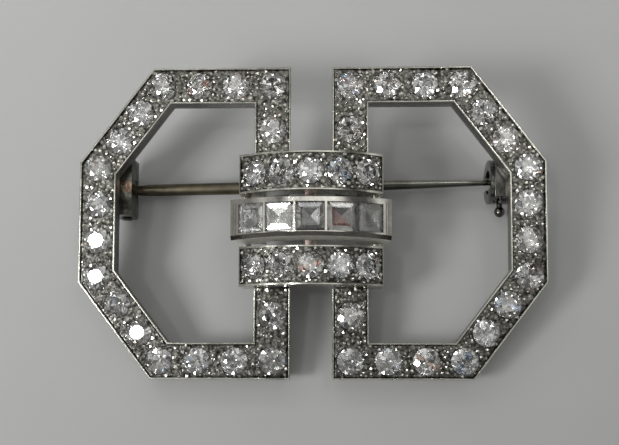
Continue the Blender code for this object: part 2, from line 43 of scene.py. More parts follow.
# ---- driving dimensions, as in the CAD source (metres) ---------------------
WIDTH = 42.0 * MM
HEIGHT = 28.2 * MM
FRAME_GAP = 3.7 * MM
STRIP = 3.3 * MM
CHAMFER_X = 6.6 * MM
CHAMFER_Y = 8.65 * MM
SEAM = 0.03 * MM
GALLERY_Z0 = 4.40 * MM
GALLERY_Z1 = 5.77 * MM
GALLERY_BOTTOM = 2.64 * MM
PLATE_Z0 = GALLERY_Z1 + SEAM
FLOOR_Z = 6.95 * MM
RIM_Z = 7.10 * MM
GIRDLE_Z = 6.98 * MM
STUB_STONE_Y = 8.40 * MM
STONE_D = 2.44 * MM
BAR_STONE_D = 2.34 * MM
BAR_PITCH = 4.10 * MM
SIDE_CROWN_Z = 10.00 * MM
SIDE_RADIUS = 10.5 * MM
SIDE_HALF_LENGTH = 6.40 * MM
SIDE_WIDTH = 3.35 * MM
SIDE_STONE_PITCH = 2.62 * MM
MID_CROWN_Z = 10.75 * MM
MID_RADIUS = 11.6 * MM
MID_HALF_LENGTH = 7.10 * MM
MID_WIDTH = 3.30 * MM
MID_STONE_PITCH = 2.72 * MM
CARRE = 2.46 * MM
CARRE_DEPTH = 1.00 * MM
BAR_UNDER_Z = 8.10 * MM
BAR_FOOT_LENGTH = 2.80 * MM
BAR_END_DRAFT = 0.20 * MM
BAR_SIDE_DRAFT = 0.05
BAR_RECESS = 0.13 * MM
BAR_RIM = 0.11 * MM
CATCH_Y = 4.45 * MM
CATCH_MOUTH = 1.25 * MM

# ---- the lean of the brooch as it lies on its back --------------------------
edge_y = (HEIGHT - STRIP + GALLERY_BOTTOM) / 2.0
touch_y = CATCH_Y - CATCH_MOUTH / 2.0
lean_angle = math.atan2(GALLERY_Z0, touch_y + edge_y)
lean_cos = math.cos(lean_angle)
lean_sin = math.sin(lean_angle)
top_reach = edge_y * lean_cos - GALLERY_Z0 * lean_sin
low_reach = -HEIGHT / 2.0 * lean_cos - RIM_Z * lean_sin
LEAN = Matrix.Translation(
    (0.0, -(top_reach + low_reach) / 2.0, -touch_y * lean_sin)
) @ Matrix.Rotation(lean_angle, 4, "X")


# ---- texture scales (per metre) and depths ------------------------------------
NOISE_ROUGHNESS = 0.55
STAINS = 700.0
DENTS = 1500.0
DENT_DEPTH = 0.02 * MM
PATCHES = 2600.0
SCRATCHES = 5200.0
SCRATCH_DEPTH = 0.006 * MM
LENGTHWAYS = (0.15, 4.0, 4.0)
CROSSWAYS = (1.0, 6.0, 1.0)
GROUND_PITS = 2600.0
GROUND_PATCHES = 3000.0
PIT_DEPTH = 0.05 * MM
RIDGE_DEPTH = 0.10 * MM
SOLDER_SPOTS = 2400.0
SOLDER_LUMP_DEPTH = 0.05 * MM
SOLDER_SCRATCH_DEPTH = 0.008 * MM
CROWN_HAZE = 900.0
CROWN_WEAR = 1800.0
CROWN_WEAR_DEPTH = 0.004 * MM
FACET_TONES = 1300.0
FACET_PATCHES = 2000.0
PAPER_CLOUDS = 60.0
PAPER_FIBRES = 3000.0
PAPER_FIBRE_DEPTH = 0.02 * MM

# ---- other figures of the materials --------------------------------------------
DIAMOND_IOR = 2.417
SQUARE_IOR = 1.7
BROOCH_REACH = 13.0 * MM
TARNISH_END = -3.0 * MM
CLEAN_START = 7.0 * MM
PIN_RISE = 0.0158
PIN_MIDDLE = 5.11 * MM
# painted shade: below its axis, across these heights, the pin's clean colour darkens to this share
UNDERSIDE_SHADE_START = PIN_MIDDLE + 0.08 * MM
UNDERSIDE_SHADE_FULL = PIN_MIDDLE - 0.25 * MM
UNDERSIDE_SHADE = 0.22
EVEN = (1.0, 1.0)


# ---- node materials ----------------------------------------------------------
class Shader:
    """A Principled material with short ways to add procedural detail."""

    def __init__(self, name, **values):
        self.mat = bpy.data.materials.new(name)
        self.mat.use_nodes = True
        self.tree = self.mat.node_tree
        self.bsdf = self.tree.nodes["Principled BSDF"]
        for key, value in values.items():
            self.bsdf.inputs[key.replace("_", " ")].default_value = value
        self.coords = self.node("ShaderNodeTexCoord").outputs["Object"]

    def node(self, kind, **props):
        made = self.tree.nodes.new(kind)
        for key, value in props.items():
            setattr(made, key, value)
        return made

    def link(self, a, b):
        self.tree.links.new(a, b)

    def noise(self, scale, detail=3.0, stretch=None):
        source = self.coords
        if stretch:
            mapping = self.node("ShaderNodeMapping")
            mapping.inputs["Scale"].default_value = stretch
            self.link(source, mapping.inputs["Vector"])
            source = mapping.outputs["Vector"]
        tex = self.node("ShaderNodeTexNoise")
        tex.inputs["Scale"].default_value = scale
        tex.inputs["Detail"].default_value = detail
        tex.inputs["Roughness"].default_value = NOISE_ROUGHNESS
        self.link(source, tex.inputs["Vector"])
        return tex.outputs["Fac"]

    def cells(self, scale):
        tex = self.node("ShaderNodeTexVoronoi", feature="F1")
        tex.inputs["Scale"].default_value = scale
        self.link(self.coords, tex.inputs["Vector"])
        return tex.outputs["Distance"]

    def ramp(self, source, stops):
        made = self.node("ShaderNodeValToRGB")
        band = made.color_ramp
        while len(band.elements) < len(stops):
            band.elements.new(0.5)
        for element, (at, colour) in zip(band.elements, stops):
            element.position = at
            if isinstance(colour, float):
                colour = (colour, colour, colour)
            element.color = (*colour, 1.0)
        self.link(source, made.inputs["Fac"])
        return made.outputs["Color"]

    def bump(self, height, strength, distance, after=None):
        made = self.node("ShaderNodeBump")
        made.inputs["Strength"].default_value = strength
        made.inputs["Distance"].default_value = distance
        self.link(height, made.inputs["Height"])
        if after is not None:
            self.link(after, made.inputs["Normal"])
        return made.outputs["Normal"]

    def fade(self, source, low, high, at_low=0.0, at_high=1.0):
        """A value that goes evenly from one figure to another over a range."""
        made = self.node("ShaderNodeMapRange")
        values = (("From Min", low), ("From Max", high), ("To Min", at_low), ("To Max", at_high))
        for key, value in values:
            made.inputs[key].default_value = value
        self.link(source, made.inputs["Value"])
        return made.outputs["Result"]

    def blend(self, factor, first, second):
        made = self.node("ShaderNodeMix", data_type="RGBA")
        for socket, source in ((0, factor), (6, first), (7, second)):
            self.link(source, made.inputs[socket])
        return made.outputs[2]

    def axis(self, name):
        made = self.node("ShaderNodeSeparateXYZ")
        self.link(self.coords, made.inputs["Vector"])
        return made.outputs[name]

    def along(self, direction):
        """How far a point lies along a direction."""
        made = self.node("ShaderNodeVectorMath", operation="DOT_PRODUCT")
        made.inputs[1].default_value = direction
        self.link(self.coords, made.inputs[0])
        return made.outputs["Value"]

    def scaled(self, colour, factor):
        made = self.node("ShaderNodeVectorMath", operation="SCALE")
        self.link(colour, made.inputs[0])
        self.link(factor, made.inputs["Scale"])
        return made.outputs["Vector"]

    def painted_light_and_shade_by_height(self, colour, low, high):
        """Painted light and shade: scales a colour evenly from the brooch's lower edge to its upper
        edge.
        """
        gain = self.fade(self.axis("Y"), -BROOCH_REACH, BROOCH_REACH, low, high)
        return self.scaled(colour, gain)

    def drive(self, socket, source):
        self.link(source, self.bsdf.inputs[socket])


def polished_metal(name, colour, dark, rough=(0.12, 0.30), wear=0.35, below=None):
    """Bright worn metal: faint stains, fine scratches and small dents; given below, painted light
    and shade from the brooch's lower edge to its upper edge.
    """
    s = Shader(name, Metallic=1.0)
    stains = s.noise(STAINS, 4.0)
    tone = s.ramp(stains, [(0.30, dark), (0.62, colour)])
    if below:
        tone = s.painted_light_and_shade_by_height(tone, *below)
    s.drive("Base Color", tone)
    patches = s.noise(PATCHES, 5.0)
    s.drive("Roughness", s.ramp(patches, [(0.25, rough[0]), (0.80, rough[1])]))
    scratches = s.noise(SCRATCHES, 4.0, stretch=CROSSWAYS)
    dents = s.bump(s.noise(DENTS, 2.0), wear, DENT_DEPTH)
    s.drive("Normal", s.bump(scratches, wear, SCRATCH_DEPTH, dents))
    return s.mat


def worn_pin(name):
    """Fine wire, tarnished brown at its hinge and clean towards its point, with painted shade on
    the lower side of its clean part.
    """
    s = Shader(name, Metallic=1.0)
    stains = s.noise(STAINS, 4.0)
    tarnished = s.ramp(stains, [(0.30, (0.062, 0.051, 0.036)), (0.62, (0.13, 0.115, 0.082))])
    clean = s.ramp(stains, [(0.30, (0.22, 0.22, 0.185)), (0.62, (0.42, 0.42, 0.375))])
    across = s.along((-PIN_RISE, 1.0, 0.0))
    # painted shade on the wire's lower side
    underside_shade = s.fade(across, UNDERSIDE_SHADE_FULL, UNDERSIDE_SHADE_START, UNDERSIDE_SHADE, 1.0)
    from_hinge = s.axis("X")
    cleaner = s.fade(from_hinge, TARNISH_END, CLEAN_START)
    s.drive("Base Color", s.blend(cleaner, tarnished, s.scaled(clean, underside_shade)))
    s.drive("Roughness", s.fade(from_hinge, TARNISH_END, CLEAN_START, 0.40, 0.22))
    scratches = s.noise(SCRATCHES, 4.0, stretch=LENGTHWAYS)
    s.drive("Normal", s.bump(scratches, 0.35, SCRATCH_DEPTH))
    return s.mat


def soldered_metal(name, colour, dark, spot, radius):
    """Dark fitting with a brown patch of old solder beside the pin."""
    s = Shader(name, Metallic=1.0)
    metal = s.ramp(s.noise(STAINS, 4.0), [(0.30, dark), (0.62, colour)])
    solder = s.ramp(s.noise(SOLDER_SPOTS), [(0.35, (0.15, 0.10, 0.07)), (0.65, (0.44, 0.33, 0.25))])
    away = s.node("ShaderNodeVectorMath", operation="DISTANCE")
    away.inputs[1].default_value = spot
    s.link(s.coords, away.inputs[0])
    inside = s.fade(away.outputs["Value"], radius * 1.15, radius * 0.75)
    s.drive("Base Color", s.blend(inside, metal, solder))
    s.drive("Roughness", s.ramp(s.noise(PATCHES, 5.0), [(0.25, 0.12), (0.80, 0.34)]))
    lumps = s.bump(s.noise(DENTS, 2.0), 0.8, SOLDER_LUMP_DEPTH)
    scratches = s.noise(SCRATCHES, 4.0)
    s.drive("Normal", s.bump(scratches, 0.5, SOLDER_SCRATCH_DEPTH, lumps))
    return s.mat


def beaded_ground(name, colour, dark, below):
    """The cut and beaded ground between the stones: bright ridges, dark pits; the dark tone is
    painted shade, with painted light and shade from the lower edge up.
    """
    s = Shader(name, Metallic=1.0)
    pits = s.noise(GROUND_PITS)
    tone = s.ramp(pits, [(0.38, dark), (0.60, colour)])
    s.drive("Base Color", s.painted_light_and_shade_by_height(tone, *below))
    s.drive("Roughness", s.ramp(s.noise(GROUND_PATCHES), [(0.3, 0.20), (0.7, 0.42)]))
    ridges = s.bump(s.cells(GROUND_PITS), 0.45, RIDGE_DEPTH)
    s.drive("Normal", s.bump(pits, 0.40, PIT_DEPTH, ridges))
    return s.mat


def crown_glass(name, ior):
    """Clear crown of a stone with a trace of wear on its facets."""
    s = Shader(name, Roughness=0.0, IOR=ior)
    s.bsdf.inputs["Transmission Weight"].default_value = 1.0
    haze = s.ramp(s.noise(CROWN_HAZE), [(0.3, (0.96, 0.96, 0.95)), (0.7, (1.0, 1.0, 1.0))])
    s.drive("Base Color", haze)
    s.drive("Normal", s.bump(s.noise(CROWN_WEAR), 0.02, CROWN_WEAR_DEPTH))
    return s.mat


def mirror_facet(name, low, high, rough=0.012, below=(0.80, 1.0)):
    """Back facet that throws the light back through the crown, never quite evenly; its tint is a
    painted reflection, with painted light and shade from the lower edge up unless below is even.
    """
    s = Shader(name, Metallic=1.0)
    tone = s.ramp(s.noise(FACET_TONES, 1.0), [(0.35, low), (0.65, high)])
    s.drive("Base Color", s.painted_light_and_shade_by_height(tone, *below))
    patches = s.noise(FACET_PATCHES, 1.0)
    s.drive("Roughness", s.ramp(patches, [(0.3, rough), (0.7, rough * 2.0)]))
    return s.mat


# ---- the materials: light tone, dark tone, roughness from and to ------------------
PLATINUM = polished_metal("platinum_rim", (0.60, 0.595, 0.54), (0.40, 0.395, 0.35))
# walls facing the windows: platinum painted dark, a painted shade; faces that look out keep the
# lighter outer tone
SHADED_WALL = polished_metal("platinum_wall", (0.22, 0.207, 0.193), (0.145, 0.135, 0.125), (0.2, 0.42))
WALL_OUTER = polished_metal(
    "platinum_wall_outer", (0.56, 0.55, 0.51), (0.40, 0.39, 0.36), (0.2, 0.42)
)
# the sunk ground between stones and grains: platinum painted far darker, a painted shade, and
# lighter towards the upper edge
SHADED_GROUND = beaded_ground(
    "platinum_ground_painted_shade", (0.17, 0.167, 0.15), (0.030, 0.029, 0.026), below=(0.80, 1.32)
)
GRAIN = polished_metal(
    "platinum_grain",
    (0.68, 0.67, 0.63),
    (0.28, 0.275, 0.245),
    rough=(0.05, 0.14),
    # painted light and shade: darker towards the brooch's lower edge, lighter towards its upper
    below=(0.82, 1.26),
)
CHANNEL = polished_metal(
    "platinum_channel", (0.66, 0.65, 0.60), (0.50, 0.49, 0.445), (0.10, 0.24)
)
BAR_SHADE = polished_metal(
    "platinum_bar_shade", (0.24, 0.225, 0.205), (0.16, 0.15, 0.135), (0.16, 0.34)
)
# the middle bar's lower long wall: pale rough metal, painted light
BAR_WALL_PAINTED_LIGHT = polished_metal(
    "platinum_bar_painted_light", (0.92, 0.91, 0.87), (0.80, 0.79, 0.75), (0.5, 0.65)
)
# the left rail: platinum painted dark, a painted shade
RAIL_SHADED = polished_metal(
    "platinum_rail_painted_shade", (0.20, 0.185, 0.17), (0.13, 0.12, 0.11), (0.2, 0.4)
)
RAIL_BROWN = polished_metal(
    "platinum_rail_brown", (0.29, 0.235, 0.215), (0.18, 0.145, 0.13), (0.2, 0.4)
)
BAR_WALL = polished_metal(
    "platinum_bar_wall", (0.70, 0.69, 0.63), (0.52, 0.51, 0.46), (0.16, 0.34)
)
# the galleries: platinum painted dark, a painted shade; their outward faces and undersides take the
# lighter outer metal
SHADED_GALLERY = polished_metal(
    "platinum_gallery", (0.20, 0.19, 0.178), (0.12, 0.115, 0.105), (0.25, 0.5)
)
FITTING = polished_metal(
    "fitting_grey", (0.18, 0.18, 0.165), (0.07, 0.07, 0.064), (0.08, 0.25), wear=0.6
)
HINGE_STAIN = (-17.35 * MM, 4.15 * MM, 4.25 * MM)
HINGE_STAIN_R = 0.58 * MM
HINGE = soldered_metal(
    "fitting_hinge", (0.18, 0.18, 0.16), (0.07, 0.07, 0.062), HINGE_STAIN, HINGE_STAIN_R
)
PIN = worn_pin("pin_white_gold")
CROWN = crown_glass("diamond_crown", DIAMOND_IOR)
SQUARE_CROWN = crown_glass("diamond_square_crown", SQUARE_IOR)
# back facets of the round stones as tinted mirrors: painted reflections in bright, mid and dark,
# painted fire in warm and blue
PAINTED_FACETS = [
    mirror_facet("facet_painted_bright", (0.86, 0.87, 0.88), (0.98, 0.98, 0.98)),
    mirror_facet("facet_painted_mid", (0.70, 0.70, 0.69), (0.90, 0.90, 0.89), rough=0.07),
    mirror_facet("facet_painted_dark", (0.16, 0.15, 0.14), (0.42, 0.40, 0.38)),
    mirror_facet("facet_painted_warm", (0.55, 0.34, 0.28), (0.82, 0.62, 0.52)),
    mirror_facet("facet_painted_blue", (0.35, 0.48, 0.75), (0.62, 0.74, 0.95)),
]
PAINTED_FACET_SHARE = [0.41, 0.45, 0.113, 0.014, 0.013]
STEP_ROUGH = 0.20
# back facets of the square stones: painted reflections, from white to black, with red and smoke
PAINTED_STEP_TONES = (
    ("white", (0.93, 0.93, 0.92), (0.99, 0.99, 0.98)),
    ("pale", (0.70, 0.70, 0.68), (0.84, 0.84, 0.82)),
    ("grey", (0.34, 0.34, 0.33), (0.48, 0.48, 0.47)),
    ("black", (0.03, 0.033, 0.03), (0.07, 0.074, 0.07)),
    ("red", (0.26, 0.14, 0.13), (0.40, 0.24, 0.22)),
    ("smoke", (0.17, 0.17, 0.165), (0.27, 0.27, 0.26)),
)
PAINTED_STEPS = [
    mirror_facet("step_" + tone, low, high, STEP_ROUGH, EVEN) for tone, low, high in PAINTED_STEP_TONES
]


# ---- mesh helpers -------------------------------------------------------------
SHARP_ANGLE = math.radians(35.0)
FLAT_ANGLE = math.radians(1.0)
MERGE_DISTANCE = 1e-7


def make(name, bm, mats, body, smooth=None):
    """Turns a bmesh drawn in the flat brooch's coordinates into a riding piece."""
    bmesh.ops.recalc_face_normals(bm, faces=bm.faces)
    bmesh.ops.transform(bm, matrix=LEAN, verts=bm.verts)
    mesh = bpy.data.meshes.new(name)
    bm.to_mesh(mesh)
    bm.free()
    for mat in mats:
        mesh.materials.append(mat)
    if smooth is not None:
        mesh.shade_smooth()
        mesh.set_sharp_from_angle(angle=math.radians(smooth))
    obj = bpy.data.objects.new(name, mesh)
    bpy.context.scene.collection.objects.link(obj)
    if body is not None:
        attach(obj, body)
    return obj


def apply_modifiers(obj):
    """Bakes the modifiers into the mesh and drops the cutters they used."""
    dg = bpy.context.evaluated_depsgraph_get()
    dg.update()
    mesh = bpy.data.meshes.new_from_object(obj.evaluated_get(dg))
    used = [m.object for m in obj.modifiers if m.type == "BOOLEAN"]
    obj.modifiers.clear()
    obj.data = mesh
    for other in used:
        bpy.data.objects.remove(other, do_unlink=True)


def cut(obj, cutter_bm):
    """Boolean difference with a cutter drawn in the flat brooch's coordinates."""
    other = make(obj.name + "_cutter", cutter_bm, [], None)
    mod = obj.modifiers.new("cut", "BOOLEAN")
    mod.operation = "DIFFERENCE"
    mod.solver = "EXACT"
    mod.material_mode = "INDEX"
    mod.object = other


def bevel(obj, width):
    mod = obj.modifiers.new("bevel", "BEVEL")
    mod.width = width
    mod.segments = 2
    mod.limit_method = "ANGLE"
    mod.angle_limit = SHARP_ANGLE
    mod.use_clamp_overlap = True


def loft(bm, rings, tags=None):
    """Joins equal rings with quads and caps; tags give a material index per side."""
    made = [[bm.verts.new(p) for p in ring] for ring in rings]
    count = len(made[0])
    for a, b in zip(made, made[1:]):
        for i in range(count):
            j = (i + 1) % count
            face = bm.faces.new((a[i], a[j], b[j], b[i]))
            if tags:
                face.material_index = tags[i]
    bm.faces.new(made[0][::-1])
    bm.faces.new(made[-1])


def circle(radius, sides):
    step = 2.0 * math.pi / sides
    return [(radius * math.cos(i * step), radius * math.sin(i * step)) for i in range(sides)]


def turned(bm, profile, sides, place):
    """A round solid from heights and radii."""
    rings = [[place @ Vector((x, y, h)) for x, y in circle(r, sides)] for h, r in profile]
    loft(bm, rings)


# ---- the path of a frame --------------------------------------------------------
def frame_path(side, stub_y):
    """Centre line of a frame's strip, from its upper stub round to its lower one."""
    half = STRIP / 2.0
    x_in = FRAME_GAP / 2.0 + half
    x_out = WIDTH / 2.0 - half
    y_top = HEIGHT / 2.0 - half
    nx = CHAMFER_Y / math.hypot(CHAMFER_X, CHAMFER_Y)
    ny = CHAMFER_X / math.hypot(CHAMFER_X, CHAMFER_Y)
    reach = nx * (WIDTH / 2.0 - CHAMFER_X) + ny * HEIGHT / 2.0 - half
    bend_x = (reach - ny * y_top) / nx
    bend_y = (reach - nx * x_out) / ny
    points = [
        (x_in, stub_y),
        (x_in, y_top),
        (bend_x, y_top),
        (x_out, bend_y),
        (x_out, -bend_y),
        (bend_x, -y_top),
        (x_in, -y_top),
        (x_in, -stub_y),
    ]
    return [Vector((side * x, y)) for x, y in points]


def mitres(path):
    """For each point of a path, one unit's step to its side, longer at a bend."""
    normals = []
    for a, b in zip(path, path[1:]):
        d = (b - a).normalized()
        normals.append(Vector((-d.y, d.x)))
    out = [normals[0]]
    for a, b in zip(normals, normals[1:]):
        out.append((a + b) / (1.0 + a.dot(b)))
    out.append(normals[-1])
    return out


def sweep(bm, path, profile, tags):
    """A strip of one cross-section along a path, mitred at its bends."""
    rings = []
    for point, mitre in zip(path, mitres(path)):
        rings.append(
            [(point.x + mitre.x * u, point.y + mitre.y * u, z) for u, z in profile]
        )
    loft(bm, rings, tags=tags)


STONES_PER_LEG = (1, 3, 3, 3, 3, 3, 1)


def frame_stones(side):
    """Each stone's place in a frame and the direction of its strip there."""
    path = frame_path(side, STUB_STONE_Y)
    spots = [(path[0], path[1] - path[0])]
    for a, b, count in zip(path, path[1:], STONES_PER_LEG):
        for i in range(count):
            spots.append((a.lerp(b, (i + 1) / count), b - a))
    return spots


def turn_to(way):
    return Matrix.Rotation(math.atan2(way.y, way.x), 4, "Z")


# ---- stones -----------------------------------------------------------------------
# heights of a round stone as shares of its diameter
GIRDLE = 0.012
CROWN_RISE = 0.150
PAVILION = 0.415
# rings of points as shares of its radius
TABLE_SHARE = (0.50, 0.58)
STAR_SHARE = 0.76
LOW_SHARE = (0.42, 0.52)
CULET_SHARE = 0.07
UNEVEN = 0.035


def old_cut(bm, diameter, place, rng):
    """Old cut brilliant: small table, high crown, open culet, slightly uneven."""
    r = diameter / 2.0
    g = diameter * GIRDLE
    crown = diameter * CROWN_RISE
    pavilion = diameter * PAVILION
    table_r = r * rng.uniform(*TABLE_SHARE)
    star_r = r * STAR_SHARE
    culet_r = r * CULET_SHARE
    low_r = r * rng.uniform(*LOW_SHARE)
    eighth = math.pi / 4.0

    def wobble():
        return 1.0 + rng.uniform(-UNEVEN, UNEVEN)

    def up(x):
        return crown - (crown - g) * (x - table_r) / (r - table_r)

    def down(x):
        return -g - (pavilion - g) * (r - x) / (r - culet_r)

    def point(radius, angle, z):
        return bm.verts.new(
            place @ Vector((radius * math.cos(angle), radius * math.sin(angle), z))
        )

    table, star, low, culet = [], [], [], []
    for i in range(8):
        a = i * eighth
        b = a + eighth / 2.0
        k = wobble()
        table.append(point(table_r * k, a, crown))
        k = star_r * wobble()
        star.append(point(k, b, up(k * math.cos(eighth / 2.0))))
        k = low_r * wobble()
        low.append(point(k, b, down(k * math.cos(eighth / 2.0))))
        culet.append(point(culet_r, a, -pavilion))
    high_g = [point(r, i * eighth / 2.0, g) for i in range(16)]
    low_g = [point(r, i * eighth / 2.0, -g) for i in range(16)]
    back = [bm.faces.new(culet[::-1])]
    bm.faces.new(table)
    for i in range(8):
        n = (i + 1) % 8
        p = (i - 1) % 8
        e, m, f = 2 * i, 2 * i + 1, (2 * i + 2) % 16
        bm.faces.new((table[i], star[i], table[n]))
        bm.faces.new((table[i], star[p], high_g[e], star[i]))
        bm.faces.new((star[i], high_g[e], high_g[m]))
        bm.faces.new((star[i], high_g[m], high_g[f]))
        back.append(bm.faces.new((low[i], low_g[m], low_g[e])))
        back.append(bm.faces.new((low[i], low_g[f], low_g[m])))
        back.append(bm.faces.new((culet[i], low[i], low_g[e], low[p])))
        back.append(bm.faces.new((culet[i], culet[n], low[i])))
    for face in back:
        face.material_index = rng.choices(range(1, 6), PAINTED_FACET_SHARE)[0]
    for i in range(16):
        n = (i + 1) % 16
        bm.faces.new((low_g[i], low_g[n], high_g[n], high_g[i]))


def square_ring(half, z, place):
    corners = ((-half, -half), (half, -half), (half, half), (-half, half))
    return [place @ Vector((x, y, z)) for x, y in corners]


# a square stone: shares of its half width, and heights about its setting
CARRE_POINT = 0.03
CARRE_POINT_Z = -0.31 * MM
CARRE_WAIST = 0.62
CARRE_WAIST_Z = -0.20 * MM
CARRE_GIRDLE_LOW = -0.35 * MM
CARRE_GIRDLE_TOP = 0.02 * MM
CARRE_STEP = 0.89
CARRE_STEP_RISE = 0.09 * MM
CARRE_TABLE = 0.54
CARRE_TABLE_RISE = 0.15 * MM


def carre(bm, place, tones):
    """Square cut: two crown steps, a table and a four-sided point inside a sloping ring."""
    h = CARRE / 2.0
    step_z = CARRE_GIRDLE_TOP + CARRE_STEP_RISE
    levels = [
        (CARRE_POINT * h, CARRE_POINT_Z),
        (CARRE_WAIST * h, CARRE_WAIST_Z),
        (h, CARRE_GIRDLE_LOW),
        (h, CARRE_GIRDLE_TOP),
        (CARRE_STEP * h, step_z),
        (CARRE_TABLE * h, step_z + CARRE_TABLE_RISE),
    ]
    loft(bm, [square_ring(half, z, place) for half, z in levels])
    bm.faces.ensure_lookup_table()
    for i, face in enumerate(bm.faces[:8]):
        face.material_index = tones[i]
    bm.faces[-2].material_index = tones[0]


# the camera and the ceiling lamp, in the flat brooch's coordinates
CAMERA_FLAT = Vector((2.0 * MM, -10.0 * MM, 77.1 * MM))
LAMP_FLAT = Vector((-98.0 * MM, 12.0 * MM, 286.0 * MM))
BRIGHT_TABLES = {("left", 10), ("left", 11), ("left", 13)}
ASKEW = 0.06


def lean_of_stone(place, bright, rng):
    """Stones sit slightly askew; a few mirror the ceiling lamp into the camera."""
    if bright:
        at = place.translation
        way = (CAMERA_FLAT - at).normalized() + (LAMP_FLAT - at).normalized()
        way = place.to_3x3().inverted() @ way
        return Vector((0.0, 0.0, 1.0)).rotation_difference(way).to_matrix().to_4x4()
    tilt = Matrix.Rotation(rng.uniform(-ASKEW, ASKEW), 4, "X")
    return tilt @ Matrix.Rotation(rng.uniform(-ASKEW, ASKEW), 4, "Y")


SEAT_SIDES = 40
SEAT_FOOT = 0.42
SEAT_LIP = 0.03
SEAT_TOP = 0.9 * MM
SEAT_THROUGH = 0.1 * MM


def seat(bm, diameter, depth, place):
    """A cutter for a stone's seat, open at the top."""
    r = diameter / 2.0 + SEAM
    profile = [(-depth, r * SEAT_FOOT), (-diameter * SEAT_LIP, r), (SEAT_TOP, r)]
    turned(bm, profile, SEAT_SIDES, place)


GRAIN_SIZES = (0.14 * MM, 0.30 * MM)
GRAIN_TURN = 6.3
GRAIN_SUNK = 0.35
GRAIN_OVER_STONE = 0.35
GRAIN_CROWDING = 0.80


def chip(bm, place, radius, rng):
    """One faceted grain of metal, turned at random."""
    turn = Matrix.Rotation(rng.uniform(0.0, GRAIN_TURN), 4, "X")
    turn = turn @ Matrix.Rotation(rng.uniform(0.0, GRAIN_TURN), 4, "Y")
    bmesh.ops.create_icosphere(bm, subdivisions=1, radius=radius, matrix=place @ turn)


def strew(bm, spots, stones, stone_r, rng, height):
    """Packs grains on the ground, clear of the stones, at the places that spots yields."""
    taken = []
    for point, place in spots:
        radius = rng.uniform(*GRAIN_SIZES)
        clear = stone_r + radius * GRAIN_OVER_STONE
        if any((point - q).length < clear for q in stones):
            continue
        if any((point - q).length < GRAIN_CROWDING * (radius + r) for q, r in taken):
            continue
        taken.append((point, radius))
        sunk = Matrix.Translation((0.0, 0.0, height - radius * GRAIN_SUNK))
        chip(bm, place @ sunk, radius, rng)


# ---- frames --------------------------------------------------------------------------
half_top = STRIP / 2.0
bar_wall = BAR_PITCH + SIDE_WIDTH / 2.0 + BAR_SIDE_DRAFT * (SIDE_CROWN_Z - PLATE_Z0)
STUB_Y = bar_wall + SEAM


def plate_profile():
    """Cross-section with rounded rims; the tags give rim 0, wall 1 or ground 2."""
    half_low = half_top - 0.07 * MM
    side = [
        (half_low, PLATE_Z0, 1),
        (half_top - 0.015 * MM, RIM_Z - 0.10 * MM, 0),
        (half_top - 0.02 * MM, RIM_Z - 0.04 * MM, 0),
        (half_top - 0.05 * MM, RIM_Z - 0.008 * MM, 0),
        (half_top - 0.10 * MM, RIM_Z, 0),
        (half_top - 0.15 * MM, RIM_Z - 0.008 * MM, 0),
        (half_top - 0.18 * MM, RIM_Z - 0.04 * MM, 2),
        (half_top - 0.23 * MM, FLOOR_Z - 0.05 * MM, 2),
        (half_top - 0.33 * MM, FLOOR_Z, 2),
    ]
    points = [(u, z) for u, z, _ in side] + [(-u, z) for u, z, _ in reversed(side)]
    tags = [t for _, _, t in side] + [t for _, _, t in reversed(side[:-1])] + [1]
    return points, tags


GAP_WALL = 0.3 * MM
OUTWARD = 0.5
DOWNWARD = -0.7


def lighten_outside(obj, side, old, new):
    """Faces that look away from the window, and undersides, take a lighter metal; the others keep
    the darker metal, a painted shade.
    """
    flat = LEAN.inverted()
    middle_x = side * (FRAME_GAP + WIDTH) / 4.0
    gap_edge = FRAME_GAP / 2.0 + GAP_WALL
    for face in obj.data.polygons:
        centre = flat @ face.center
        normal = flat.to_3x3() @ face.normal
        away = normal.x * (centre.x - middle_x) + normal.y * centre.y
        outside = away > OUTWARD * math.hypot(centre.x - middle_x, centre.y)
        if face.material_index == old and abs(centre.x) > gap_edge:
            if outside or normal.z < DOWNWARD:
                face.material_index = new


GRAIN_TRIES = 260
GRAIN_REACH = half_top - 0.34 * MM
SEEDS = {"left": 7, "right": 8, "upper": 21, "lower": 22}


def strip_spots(path, half, rng):
    """Random places all over the strip's ground."""
    sides = mitres(path)
    for i in range(len(path) - 1):
        length = (path[i + 1] - path[i]).length
        for _ in range(int(GRAIN_TRIES * length / STRIP)):
            t = rng.random()
            v = rng.uniform(-half, half)
            mitre = sides[i].lerp(sides[i + 1], t)
            point = path[i].lerp(path[i + 1], t) + mitre * v
            yield point, Matrix.Translation((point.x, point.y, 0.0))


